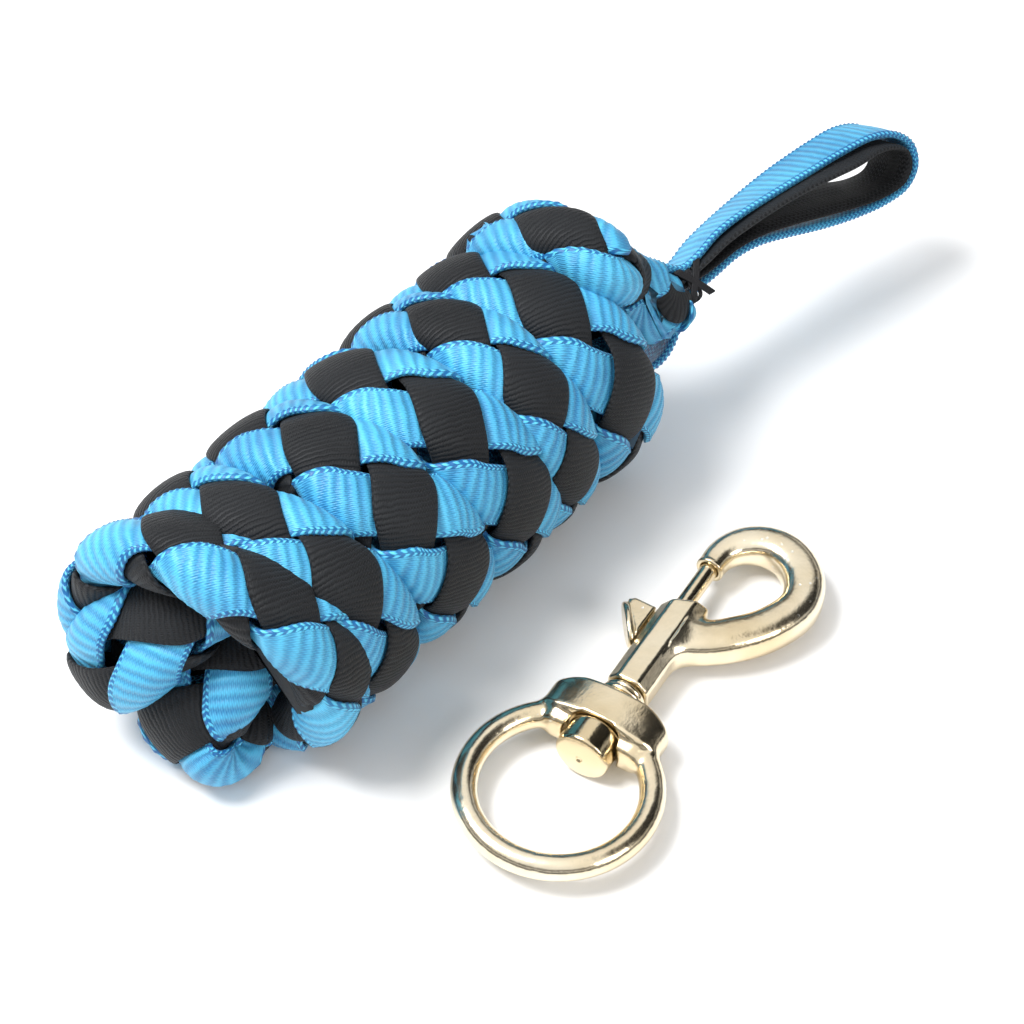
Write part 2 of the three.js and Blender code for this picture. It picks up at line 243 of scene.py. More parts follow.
def webbing_material(name, dark, light, rib, rib_depth, thread, edge, roughness, shine):
    """Woven tape: ribs across it, fine threads along it, and a knitted edge of the given width,
    with painted shade darkening the grooves between them.
    """
    n = Nodes(name)
    coordinates = n.add("ShaderNodeUVMap", uv_map="tape")
    split = n.add("ShaderNodeSeparateXYZ")
    n.link(coordinates.outputs["UV"], split.inputs[0])
    along, across = split.outputs["X"], split.outputs["Y"]
    space = n.add("ShaderNodeTexCoord").outputs["Object"]
    wander = n.maths("MULTIPLY_ADD", n.noise(space, 420, 2), 0.9, -0.45)
    # Each thread along the tape sits a little forward or back of its neighbour, so ribs zigzag.
    lean = n.maths("MULTIPLY", tape_wave(n, across, thread * 2), rib * 0.09)
    ribs = tape_wave(n, n.maths("ADD", n.maths("ADD", along, lean), wander), rib)
    threads = tape_wave(n, across, thread)
    stitches = tape_wave(n, n.maths("ADD", along, n.maths("MULTIPLY", across, 1.1)), thread * 2.2)
    weave = n.maths("MULTIPLY", threads, n.maths("MULTIPLY_ADD", stitches, 0.5, 0.5))
    side = n.maths("SUBTRACT", n.maths("ABSOLUTE", across), TAPE_HALF - edge)
    border = n.maths("MINIMUM", n.maths("MAXIMUM", n.maths("MULTIPLY", side, 8.0), 0.0), 1.0)
    # The knitted edge is a row of slanted loops on each side of its middle; its colour is painted
    # darker between the loops as shade and lighter on them.
    slant = n.maths("PINGPONG", n.maths("ADD", side, 4.0), 0.75)
    loops = tape_wave(n, n.maths("MULTIPLY_ADD", slant, -0.9, along), KNIT)
    rows = n.maths("ABSOLUTE", n.maths("SINE", n.maths("MULTIPLY", side, math.pi / 0.75)))
    loops = n.maths("MULTIPLY", loops, n.maths("MULTIPLY_ADD", rows, 0.75, 0.25))
    loops = n.maths("MULTIPLY_ADD", loops, 1.9, -0.35)
    tone = n.noise(space, 55, 4)
    # Colour: painted shade darkens the rib grooves and the gaps between threads and between knitted
    # loops, and the crests are lighter; the noise tone added on top is random and real.
    groove_shade = n.maths("MULTIPLY_ADD", ribs, 0.36, n.maths("MULTIPLY_ADD", weave, 0.30, 0.22))
    shade = n.mix(border, n.grey(groove_shade), n.grey(loops))
    shade = n.maths("MULTIPLY_ADD", n.maths("SUBTRACT", tone, 0.5), 0.9, shade)
    colour = n.mix(shade, dark, light)
    height = n.maths("MULTIPLY_ADD", ribs, rib_depth, n.maths("MULTIPLY", weave, 0.4))
    height = n.mix(border, n.grey(height), n.grey(loops))
    normal = n.bump(height, 0.7, 0.00032)
    gloss = n.maths("MULTIPLY_ADD", tone, 0.15, roughness)
    return n.finish(colour, gloss, normal, Sheen_Weight=shine * 0.12, Sheen_Roughness=0.5,
                    Specular_IOR_Level=shine)


def thread_material():
    n = Nodes("thread")
    space = n.add("ShaderNodeTexCoord").outputs["Object"]
    fuzz = n.noise(space, 3000, 3)
    colour = n.mix(fuzz, (0.004, 0.004, 0.005), (0.022, 0.022, 0.025))
    return n.finish(colour, 0.65, n.bump(fuzz, 0.5, 0.0002), Specular_IOR_Level=0.25)


def brass_material(name, pits, roughness):
    """Pale brass plating over a casting: soft waves, fine pits and slight tarnish."""
    n = Nodes(name)
    space = n.add("ShaderNodeTexCoord").outputs["Object"]
    cast = n.noise(space, 160, 4)
    grain = n.noise(space, 1500, 3)
    cells = n.add("ShaderNodeTexVoronoi", feature="F1")
    cells.inputs["Scale"].default_value = 420
    n.link(space, cells.inputs["Vector"])
    spots = n.maths("LESS_THAN", cells.outputs["Distance"], 0.13)
    patches = n.maths("GREATER_THAN", n.noise(space, 70, 2), 0.56)
    spots = n.maths("MULTIPLY", n.maths("MULTIPLY", spots, patches), pits)
    colour = n.ramp(n.noise(space, 45, 3), [
        (0.30, (0.72, 0.585, 0.37)), (0.52, (0.83, 0.72, 0.525)), (0.75, (0.90, 0.82, 0.65))])
    colour = n.mix(n.maths("MULTIPLY", spots, 0.7), colour, (0.95, 0.93, 0.86))
    rough = n.maths("MULTIPLY_ADD", grain, 0.12, roughness)
    height = n.maths("ADD", cast, n.maths("MULTIPLY", grain, 0.10))
    height = n.maths("SUBTRACT", height, n.maths("MULTIPLY", spots, 0.35))
    return n.finish(colour, rough, n.bump(height, 0.35, 0.0006), Metallic=1.0)


def steel_material():
    n = Nodes("spring_wire")
    space = n.add("ShaderNodeTexCoord").outputs["Object"]
    drawn = n.noise(space, 1200, 2)
    colour = n.mix(drawn, (0.45, 0.45, 0.46), (0.7, 0.7, 0.71))
    return n.finish(colour, 0.28, n.bump(drawn, 0.2, 0.0002), Metallic=1.0)


TAPE_HALF = 7.7  # half a tape's full width
KNIT = 1.35  # one loop of the knitted edge
# Each webbing's darker colour is the painted shade of its grooves, and its lighter colour is its
# crests.
BLUE = webbing_material("blue_webbing", (0.004, 0.115, 0.33), (0.10, 0.56, 0.84), 2.4, 0.9, 0.42,
                        1.5, 0.40, 0.5)
BLACK = webbing_material("black_webbing", (0.004, 0.0045, 0.0055), (0.018, 0.020, 0.023), 1.05,
                         1.1, 0.36, 0.4, 0.50, 0.22)
THREAD = thread_material()
BRASS = brass_material("plated_brass", 1.0, 0.15)
BRASS_SMOOTH = brass_material("plated_brass_turned", 0.25, 0.11)
STEEL = steel_material()


# ---- The rope's route -------------------------------------------------------------------------
# Turns of the hank. Angles grow along the rope, from the snap's side (0) over the top (90).
MIDDLE_Z = 30.8  # height of the winding's axis
TURN_R = 25.2
START_TURN = 68.0
END_TURN = 2350.0
TURN_STEP = 12.0
WOUND_HALF_THICKNESS = 5.4
# Angle along the winding, and the turn's place along the hank from its middle.
TURN_PLACES = [
    (68, 57.6), (92, 56.4), (150, 52.4), (270, 48.8), (378, 45.6), (433.5, 40.4), (472, 37.0),
    (600, 31.2), (725, 24.4), (769.5, 22.6), (817, 20.4), (950, 14.0), (1093.4, 6.7),
    (1144, 0.6), (1190, -3.8), (1320, -10.2), (1444.4, -15.6), (1489, -21.6), (1532, -24.2),
    (1660, -32.0), (1789, -38.2), (1844, -42.6), (1891, -48.4), (2040, -49.8), (2170.6, -51.6),
    (2216.5, -57.6), (2264, -61.0), (2350, -66.0),
]
# Angle along the winding, and the number of the crossing where a black tape comes outermost there.
CROSSINGS = [
    (68, -0.55), (90, 0), (134, 0.95), (378, 5), (433.5, 6), (472, 6.8), (725, 11), (769.5, 12),
    (817, 13), (1093.4, 18), (1144, 19), (1190, 19.9), (1444.4, 24), (1489, 25), (1532, 26),
    (1789, 31), (1844, 32), (1891, 33), (2170.6, 38), (2216.5, 39), (2264, 40), (2350, 41.7),
]
CROSSING_STEP = 21.8  # millimetres of straight rope from one crossing to the next
# From the hand loop to the first turn. Each point has its place from BASE, the way its outer face
# looks, half its width and half its thickness.
OUTER_RUN = [
    ((52.4, -8.2, 37.6), (-0.45, -0.5, 0.72), 3.4, 2.2, None),
    ((49.4, -8.0, 37.8), (-0.45, -0.5, 0.72), 5.6, 2.6, None),
    ((45.6, -7.2, 38.6), (-0.45, -0.5, 0.72), 8.0, 3.0, -2),
    ((42.2, -4.8, 41.2), (-0.42, -0.5, 0.75), 7.8, 3.4, None),
    ((39.0, -2.6, 45.2), (-0.35, -0.5, 0.80), 6.8, 3.4, -1.32),
    ((35.6, -1.6, 51.6), (-0.15, -0.4, 0.90), 6.4, 4.2, None),
]
# From the last turn into the hank, then back and forth with a fold at its end each time. The last
# number fixes where a crossing falls: 0 puts black on the outer face there, 0.5 blue beside it.
INNER_RUNS = [
    ((-88.0, 27.0, 16.0), (-0.5, 0.6, -0.6), 8.0, 5.0, None),
    ((-76.0, 16.0, 19.0), (0, 0.6, -0.8), 6.5, 4.6, None),
    ((-30.0, 14.0, 22.0), (0, 0.7, -0.7), 5.8, 4.4, None),
    ((15.0, 15.0, 23.0), (0, 0.7, -0.7), 5.8, 4.4, None),
    ((28.0, 15.5, 30.0), (1, 0.2, 0), 5.8, 4.2, None),
    ((15.0, 14.5, 38.5), (0, 0.6, 0.8), 5.8, 4.4, None),
    ((-30.0, 13.0, 40.0), (0, 0.6, 0.8), 5.8, 4.4, None),
    ((-72.0, 9.0, 41.5), (-0.1, 0.2, 1), 7.0, 4.8, None),
    ((-84.0, 9.5, 42.5), (-0.2, -0.1, 1), 8.6, 5.4, None),
    ((-93.0, 12.0, 40.0), (-0.55, -0.15, 0.8), 10.0, 5.8, 0),
    ((-100.5, 17.0, 34.0), (-0.85, -0.05, 0.5), 10.4, 5.8, None),
    ((-104.0, 22.0, 26.5), (-0.98, 0.05, 0.15), 10.2, 5.8, None),
    ((-103.0, 25.5, 20.0), (-0.9, 0.2, -0.25), 9.4, 5.4, 1),
    ((-90.0, 21.0, 15.0), (-0.3, 0.4, -0.9), 7.0, 4.8, None),
    ((-60.0, 1.0, 20.0), (0, -0.5, -0.9), 5.8, 4.4, None),
    ((-20.0, -2.0, 20.5), (0, -0.6, -0.8), 5.8, 4.4, None),
    ((12.0, -2.5, 22.0), (0, -0.6, -0.8), 5.8, 4.4, None),
    ((26.0, -2.0, 30.0), (1, -0.2, 0), 5.8, 4.2, None),
    ((12.0, -1.0, 38.5), (0, -0.5, 0.9), 5.8, 4.4, None),
    ((-30.0, 0.0, 38.5), (0, -0.5, 0.9), 5.8, 4.4, None),
    ((-70.0, 1.5, 34.5), (-0.2, -0.3, 1), 7.4, 4.8, None),
    ((-83.0, 3.5, 28.5), (-0.5, -0.2, 0.85), 9.6, 5.4, 0),
    ((-93.0, 5.5, 23.0), (-0.8, -0.15, 0.6), 10.8, 5.9, None),
    ((-99.5, 6.5, 15.5), (-1, -0.1, 0.15), 11.2, 6.1, 1),
    ((-99.5, 4.0, 8.0), (-0.8, 0, -0.5), 10.4, 5.8, 1.5),
    ((-92.0, 2.0, 6.8), (-0.1, 0, -1), 8.6, 5.0, None),
    ((-80.0, 2.0, 12.0), (0.3, 0, -1), 6.4, 4.6, None),
    ((-65.0, 3.0, 24.0), (0.3, 0, -1), 5.6, 4.2, None),
    ((-40.0, 6.0, 29.5), (0, 0, 1), 5.0, 4.0, None),
    ((0.0, 6.0, 30.0), (0, 0, 1), 5.0, 4.0, None),
]


def rope_route():
    """Columns: place (3), outward way (3), half width, half thickness, crossing number."""
    turns = np.arange(START_TURN, END_TURN + 1, TURN_STEP)
    x = hermite(*zip(*TURN_PLACES), turns)
    k = hermite(*zip(*CROSSINGS), turns)
    angle = np.radians(turns)
    pitch = np.abs(hermite(*zip(*TURN_PLACES), turns + 180)
                   - hermite(*zip(*TURN_PLACES), turns - 180))
    outward = np.stack([0 * x, -np.cos(angle), np.sin(angle)], 1)
    # The first turn leans a little away from the end of the hank, and the last one in over it.
    roll = -0.05 * np.clip((200 - turns) / 100, 0, 1) + 0.35 * np.clip((turns - 1980) / 150, 0, 1)
    outward = unit(outward + roll[:, None] * np.array([1.0, 0, 0]))
    middle = -0.165 + 0.02 * x
    # The first turn rides up on its neighbour and is free to spread.
    radius = TURN_R + 5.2 * np.clip((145 - turns) / 65, 0, 1)
    place = np.stack([x, middle - radius * np.cos(angle), MIDDLE_Z + radius * np.sin(angle)], 1)
    free = np.exp(-((turns - 370) / 70) ** 2)
    # The rope is drawn in where it bends down to the neck.
    drawn = 1 - 0.26 * np.clip((116 - turns) / 48, 0, 1)
    half = (np.clip(pitch / 2 - 0.5, 8.4, 10.6) + 2.2 * free) * drawn
    wound = np.column_stack([place + HANK, outward, half, np.full(len(x), WOUND_HALF_THICKNESS),
                             k])
    outer = run_rows(OUTER_RUN[::-1], wound[0], -1)[::-1]
    inner = run_rows(INNER_RUNS, wound[-1], 1)
    return even(catmull(np.vstack([outer, wound, inner]), 24), 1.0)


def run_rows(points, last, sense):
    """Route rows for points that carry on from the row last, numbered onwards or backwards."""
    places = np.array([p[0] for p in points]) + BASE
    gaps = np.linalg.norm(np.diff(np.vstack([last[:3], places]), axis=0), axis=1)
    numbers = last[8] + sense * np.cumsum(gaps) / CROSSING_STEP
    at, moves, whole = [last[8]], [0.0], 0
    for number, point in zip(numbers, points):
        if point[4] == 0:
            whole = round(number + moves[-1])
        if point[4] is not None:
            at.append(number)
            moves.append(whole + point[4] - number)
    numbers = numbers + np.interp(sense * numbers, sense * np.array(at), moves)
    return np.array([[*place, *unit(np.array(p[1], float)), p[2], p[3], number]
                     for place, p, number in zip(places, points, numbers)])


ROUTE = rope_route()
STEPS = np.arange(len(ROUTE)) * (np.linalg.norm(np.diff(ROUTE[:, :3], axis=0), axis=1).mean())
ROPE_LENGTH = STEPS[-1]


def smoothed(values, reach):
    kernel = np.hanning(2 * reach + 3)[1:-1]
    kernel /= kernel.sum()
    padded = np.concatenate([np.repeat(values[:1], reach, 0), values,
                             np.repeat(values[-1:], reach, 0)])
    return np.stack([np.convolve(padded[:, k], kernel, "valid") for k in range(values.shape[1])], 1)


CENTRE = smoothed(ROUTE[:, :3], 3)
TANGENT = unit(smoothed(np.gradient(CENTRE, axis=0), 3))
OUTWARD = smoothed(ROUTE[:, 3:6], 5)
OUTWARD = unit(OUTWARD - (OUTWARD * TANGENT).sum(1, keepdims=True) * TANGENT)
SIDEWAYS = np.cross(TANGENT, OUTWARD)
SECTION = smoothed(ROUTE[:, 6:9], 3)


def along_rope(s):
    """Everything about the rope at distances s from its start."""
    s = np.asarray(s)
    at = np.clip(s / STEPS[1], 0, len(STEPS) - 1.001)
    i = at.astype(int)
    f = (at - i)[..., None]

    def pick(table):
        return table[i] * (1 - f) + table[i + 1] * f
    return pick(CENTRE), pick(OUTWARD), pick(SIDEWAYS), pick(SECTION)


def distance_at(number):
    """The distance along the rope at which a crossing number falls."""
    return float(np.interp(number, SECTION[:, 2], STEPS))


LAST_SHOWN_CROSSING = 42
SHOWN_TO = distance_at(LAST_SHOWN_CROSSING)
FOLD_FROM = BASE[0] - 68  # the folds beyond this end of the hank show


def near_fold(s):
    """Where the rope shows at the end of the hank."""
    return along_rope(s)[0][:, 0] < FOLD_FROM


# The tapes bunch up as they come out of the stitches; the black ones stay folded the longest.
# The last share of each holds for the rest of the rope.
NARROWED_AT = [0.0] + [distance_at(k) for k in (-2.3, -1.6, -0.9, -0.3)]
NARROWED = {1: [0.4, 0.7, 0.8, 0.84, 0.95], -1: [0.3, 0.4, 0.5, 0.7, 0.92]}

FINE_STEP = 0.25  # for measuring a tape's run along the rope
HIDDEN_ROW = 3.0  # spacing of a tape's rows where nothing shows
WARP = 0.42  # how much the tapes spread on the outer face and bunch on the inner
KNIT_SWAY = 0.2  # how far a knitted edge goes in and out, as a share of its thickness
LIFT = 1.25  # how far a tape rides above or below the braid's middle surface


def braid_surface(s, turn, lift):
    """The point at distance s and braid angle turn (radians), lift above the middle surface."""
    centre, outward, sideways, section = along_rope(s)
    angle = turn + WARP * np.cos(turn)
    a, b = section[..., 0:1], section[..., 1:2]
    cos, sin = np.cos(angle)[..., None], np.sin(angle)[..., None]
    # Ropes pressed side by side have a squarer section than an ellipse.
    fuller = (np.abs(cos) ** 2.7 + np.abs(sin) ** 2.7) ** (-1 / 2.7)
    cos, sin = cos * fuller, sin * fuller
    normal = unit(sideways * cos * b + outward * sin * a)
    return centre + sideways * cos * a + outward * sin * b + normal * lift[..., None], normal


def over_under(phase):
    """1 where a tape is on top, -1 where it is underneath, with a quick dive between."""
    wave = np.cos(phase)
    return np.tanh(1.7 * wave) / math.tanh(1.7)


def tape_section(border):
    """Across a tape: places from -1 to 1 over the top and back beneath, heights, UV and masks."""
    half_top = np.array([0.0, 0.2, 0.42, 0.62, 0.76, 0.82, 0.9, 0.97, 1.0])
    top = np.concatenate([-half_top[:0:-1], half_top])
    heights = 0.58 * np.sqrt(np.clip(1 - np.abs(top) ** 9, 0, 1)) + 0.4 * (1 - top ** 2)
    heights += border * np.exp(-((np.abs(top) - 0.89) / 0.06) ** 2)
    under = np.array([0.92, 0.45, 0, -0.45, -0.92])
    place = np.concatenate([top, under])
    height = np.concatenate([heights, -0.62 - 0.7 * border * (np.abs(under) > 0.9)])
    side = np.where(under < 0, -1, 1)
    uv = np.concatenate([top, side * (2.15 - np.abs(under))]) * TAPE_HALF
    ribbed = np.concatenate([np.clip((0.84 - np.abs(top)) * 9, 0, 1), 0 * under])
    knitted = np.concatenate([(np.abs(top) > 0.8) * 1.0, 0 * under])
    return place * TAPE_HALF, height, uv, ribbed, knitted


def rib_wave(u, rib):
    return np.abs(np.sin(math.pi * u / rib)) ** 0.6 - 0.7


def knit_height(u, place, knitted, border):
    """The loops of the knitted edge stand up in turn, the two rows a half loop apart."""
    row = np.where(np.abs(place) > 0.9 * TAPE_HALF, math.pi, 0.0)
    return 0.4 * border * knitted * np.sin(2 * math.pi * u[:, None] / KNIT + row)


def braided_tape(name, sense, strand, material, rib, rib_depth, border, spacing):
    """One flat tape of the braid. sense is 1 or -1 for the way it turns round the rope."""
    fine = np.linspace(0, ROPE_LENGTH, int(ROPE_LENGTH / FINE_STEP))
    crossing = np.interp(fine, STEPS, SECTION[:, 2]) * math.pi
    turn = math.pi / 2 + sense * (crossing + math.pi * strand)
    points, _ = braid_surface(fine, turn, np.zeros_like(fine))
    run = np.concatenate([[0], np.cumsum(np.linalg.norm(np.diff(points, axis=0), axis=1))])
    # Rows are close together where the tape shows and far apart inside the hank.
    shown = (fine < SHOWN_TO) | near_fold(fine)
    gaps = np.where(shown[1:], spacing, HIDDEN_ROW)
    rows = np.concatenate([[0], np.cumsum(np.diff(run) / gaps)])
    count = int(rows[-1])
    s = np.interp(np.arange(count), rows, fine)
    u = np.interp(np.arange(count), rows, run)
    turn = np.interp(s, fine, turn)
    middle, _ = braid_surface(s, turn, np.zeros_like(s))
    # The way across the tape, on the surface and square to its run.
    ds, dt = 0.4, 0.03
    along = (braid_surface(s + ds, turn, 0 * s)[0] - middle) / ds
    around = (braid_surface(s, turn + dt, 0 * s)[0] - middle) / dt
    rate = np.gradient(turn, s)
    e, f, g = (along * along).sum(1), (along * around).sum(1), (around * around).sum(1)
    step = np.sqrt(e + 2 * f * rate + g * rate ** 2)
    area = np.sqrt(np.maximum(e * g - f * f, 1e-6))
    cross_s, cross_t = -(f + g * rate) / (area * step), (e + f * rate) / (area * step)
    place, height, across, ribbed, knitted = tape_section(border)
    width = 1 + 0.03 * np.sin(u / 9.1 + 2 * strand) + 0.02 * np.sin(u / 3.7 + sense)
    width = width * np.interp(s, NARROWED_AT, NARROWED[sense])
    v = place[None, :] * width[:, None]
    knit = border * KNIT_SWAY * np.sin(2 * math.pi * u / KNIT)
    v = v + knitted[None, :] * np.sign(place)[None, :] * knit[:, None]
    ss = s[:, None] + cross_s[:, None] * v
    tt = turn[:, None] + cross_t[:, None] * v
    where = np.interp(ss, STEPS, SECTION[:, 2]) * math.pi
    other = tt + sense * where
    lift = -sense * LIFT * over_under(other - math.pi / 2 - math.pi * strand)
    lift = lift + height[None, :] + rib_depth * rib_wave(u, rib)[:, None] * ribbed[None, :]
    lift = lift + knit_height(u, place, knitted, border)
    verts, _ = braid_surface(ss, tt, lift)
    columns = len(place)
    verts = settle(verts.reshape(-1, 3))
    uvs = np.stack([np.repeat(u, columns), np.tile(across, count)], 1)
    return mesh_object(name, verts, ring_faces(count, columns), material, uvs)


def settle(verts):
    """The rope flattens where it rests on the floor."""
    z = verts[:, 2]
    soft = 1.6  # how gradually it flattens
    verts[:, 2] = np.where(z < 4 * soft, soft * np.log1p(np.exp(np.clip(z / soft, -60, 60)))
                           * (1 - np.exp(-np.maximum(z + 8, 0) / 3)), z)
    return verts


def ring_faces(rows, columns, caps=True):
    """Quads between closed rings of points, with both ends closed."""
    i, k = np.meshgrid(np.arange(rows - 1), np.arange(columns), indexing="ij")
    a, b = i * columns + k, i * columns + (k + 1) % columns
    faces = [np.stack([a, a + columns, b + columns, b], -1).reshape(-1, 4)]
    if caps:
        half = columns // 2
        for base, flip in ((0, False), ((rows - 1) * columns, True)):
            for j in range(half - 1):
                quad = [base + j, base + j + 1, base + columns - 2 - j, base + columns - 1 - j]
                faces.append(np.array([quad[::-1] if flip else quad]))
    return np.vstack(faces)


def make_rope():
    for name, sense, strand, material, rib, depth, border, spacing in (
            ("blue_tape_1", 1, 0, BLUE, 2.4, 0.16, 0.30, 0.38),
            ("blue_tape_2", 1, 1, BLUE, 2.4, 0.16, 0.30, 0.38),
            ("black_tape_1", -1, 0, BLACK, 1.05, 0.0, 0.0, 0.7),
            ("black_tape_2", -1, 1, BLACK, 1.05, 0.0, 0.0, 0.7)):
        tape = braided_tape(name, sense, strand, material, rib, depth, border, spacing)
        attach(tape, "hank")
    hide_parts("rope_hank")
    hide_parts("rope_neck")


make_rope()


# ---- Hand loop --------------------------------------------------------------------------------
NECK = BASE + np.array([57.6, -9.6, 38.0])
LOOP_YAW = math.radians(-11)
LOOP_ALONG = np.array([math.cos(LOOP_YAW), math.sin(LOOP_YAW), 0.0])
LOOP_LEVEL = np.array([-math.sin(LOOP_YAW), math.cos(LOOP_YAW), 0.0])
LOOP_TILT = math.radians(27)
LOOP_UP = np.cross(LOOP_ALONG, LOOP_LEVEL * math.cos(LOOP_TILT)
                   - np.array([0, 0, math.sin(LOOP_TILT)]))
# The near edge of the webbing, from the neck over the top and back: along the loop and up from it.
BLUE_LINE = [(-24.5, 18.6), (-18.4, 16.3), (-13.3, 13.5), (-9.6, 10.7), (-6.6, 8.0), (-3.2, 6.0),
             (2, 6.6), (9, 9.0), (17, 10.3), (28, 11.1), (40, 11.5), (52, 11.4), (62, 10.6),
             (69, 7.9), (72.9, 3.4), (72.6, -1.6), (68.5, -5.2), (61, -6.1), (51, -5.0),
             (40, -2.8), (29, -0.2), (20, 1.5), (13, 1.6), (6, 0.4), (-1, -0.6), (-4.6, -1.6),
             (-7.5, -3.8), (-10.1, -8.0), (-15.5, -11.7), (-24, -12.6), (-33, -13.0),
             (-42, -13.0)]
BLACK_LINE = [(-8, 2.2), (-4, 3.2), (3, 4.9), (9, 6.8), (17, 7.9), (28, 8.6), (40, 9.0),
              (52, 8.9), (61, 8.2), (67, 6.0), (70.6, 2.9), (70.2, -0.9), (67.2, -3.4),
              (60.6, -4.0), (51, -2.9), (40, -0.7), (29, 1.9), (20, 3.6), (13, 3.7), (6, 2.6),
              (-1, 1.7), (-8, 1.0)]
# Share of the line's length, how far the webbing rolls down to the far side (degrees), and how
# far its near edge is moved across.
BLUE_ROLL = [(0, 50, 0), (0.028, 50, 0), (0.114, 47, 0), (0.157, 44, 0), (0.242, 37, 0),
             (0.311, 30, 0), (0.405, 22, 0), (0.499, 26, 0), (0.645, 27, 0), (0.756, 33, 0),
             (0.816, 44, 0), (0.885, 50, 0), (1, 50, 0)]
BLACK_ROLL = [(0, 44, -0.3), (0.08, 42, -2.0), (0.2, 35, -4.0), (0.34, 27, -4.7),
              (0.43, 23, -2.0), (0.5, 25, -0.2), (0.57, 21, -0.2), (0.63, 13, -0.2),
              (0.72, 8, -0.2), (0.8, 13, -0.2), (0.9, 28, -0.4), (1, 40, -0.5)]


def loop_web(name, line, rolls, material, rib, rib_depth, border, spacing):
    """Webbing laid flat side out along a line of the loop."""
    flat = np.array(line, float)
    path = even(catmull(np.column_stack([flat, 0 * flat[:, 0]]), 24), spacing)
    base = NECK + path[:, :1] * LOOP_ALONG + path[:, 1:2] * LOOP_UP
    base = smoothed(base, 2)
    u = np.arange(len(base)) * spacing
    share, roll, out = np.array(rolls, float).T
    roll = np.radians(hermite(share, roll, u / u[-1]))
    out = hermite(share, out, u / u[-1])
    across = (np.cos(roll)[:, None] * LOOP_LEVEL
              - np.sin(roll)[:, None] * np.array([0.0, 0.0, 1.0]))
    run = unit(np.gradient(base, axis=0))
    normal = unit(np.cross(run, across))
    place, height, uv, ribbed, knitted = tape_section(border)
    knit = border * KNIT_SWAY * np.sin(2 * math.pi * u / KNIT)
    v = place[None, :] + TAPE_HALF + out[:, None]
    v = v + knitted[None, :] * np.sign(place)[None, :] * knit[:, None]
    # Webbing is never quite flat: it cups a little and waves along its length.
    lift = height[None, :] + rib_depth * rib_wave(u, rib)[:, None] * ribbed[None, :]
    lift = lift + 0.25 * np.sin(u / 8.3)[:, None] * (v - TAPE_HALF) / TAPE_HALF
    lift = lift + knit_height(u, place, knitted, border)
    verts = base[:, None] + v[..., None] * across[:, None] + lift[..., None] * normal[:, None]
    columns = len(place)
    uvs = np.stack([np.repeat(u, columns), np.tile(uv, len(base))], 1)
    return mesh_object(name, verts.reshape(-1, 3), ring_faces(len(base), columns), material, uvs)


def tube(points, radius, sides=8, closed=False):
    """Verts and faces of a thin tube along points."""
    ahead = np.roll(points, -1, 0) - np.roll(points, 1, 0)
    if not closed:
        ahead = np.gradient(points, axis=0)
    run = unit(ahead)
    side = unit(np.cross(run, np.where(np.abs(run[:, 2:]) > 0.9, [[1.0, 0, 0]], [[0, 0, 1.0]])))
    up = np.cross(run, side)
    turn = np.arange(sides) * 2 * math.pi / sides
    rings = (points[:, None] + radius * (np.cos(turn)[None, :, None] * side[:, None]
                                         + np.sin(turn)[None, :, None] * up[:, None]))
    faces = ring_faces(len(points), sides, caps=not closed)
    if closed:
        last, first = (len(points) - 1) * sides + np.arange(sides), np.arange(sides)
        faces = np.vstack([faces, np.stack([last, first, np.roll(first, -1),
                                            np.roll(last, -1)], 1)])
    return rings.reshape(-1, 3), faces


TACK_THREAD_R = 0.34


def bar_tack():
    """Thread wrapped round the neck, with a cross of stitches on its near side."""
    verts, faces, count = [], [], 0
    lean_down = math.radians(45)
    across = math.cos(lean_down) * LOOP_LEVEL - np.array([0, 0, math.sin(lean_down)])
    up = np.cross(LOOP_ALONG, across)
    middle = NECK + 1.6 * LOOP_UP + 7.2 * across - 1.4 * LOOP_ALONG
    turn = np.linspace(0, 2 * math.pi, 72, endpoint=False)
    lines = []
    for i in range(6):
        lean, at = RNG.uniform(-0.9, 0.9), -2.2 + 0.5 * i
        cos, sin = np.cos(turn), np.sin(turn)
        round_it = (np.abs(cos) ** 4 + np.abs(sin) ** 4) ** -0.25
        lines.append((middle + np.outer(at + lean * sin, LOOP_ALONG)
                      + np.outer(8.5 * cos * round_it, across)
                      + np.outer((4.5 + 0.12 * (i % 3)) * sin * round_it, up), True))
    for sense in (1, -1):
        for i in range(4):
            t = np.linspace(-1, 1, 16)
            off = (i - 1.5) * 0.45
            lines.append((middle - (9.1 - 0.5 * t ** 2)[:, None] * across
                          + np.outer(3.2 * t * sense + off - 0.8, LOOP_ALONG)
                          + np.outer(4.3 * t, up), False))
    for points, closed in lines:
        v, f = tube(points, TACK_THREAD_R, closed=closed)
        verts.append(v)
        faces.append(f + count)
        count += len(v)
    return mesh_object("handle_stitching", np.vstack(verts), np.vstack(faces), THREAD)


def make_hand_loop():
    for name, node, slot, piece in (
            ("handle_blue_web", "handle_outer_web", "blue_webbing", loop_web(
                "handle_blue_web", BLUE_LINE, BLUE_ROLL, BLUE, 2.4, 0.12, 0.36, 0.34)),
            ("handle_black_web", "handle_inner_web", "black_webbing", loop_web(
                "handle_black_web", BLACK_LINE, BLACK_ROLL, BLACK, 1.05, 0.0, 0.05, 0.5)),
            ("handle_stitching", "handle_bar_tack", "black_thread", bar_tack())):
        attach(piece, "hank")
        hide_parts(node)


make_hand_loop()


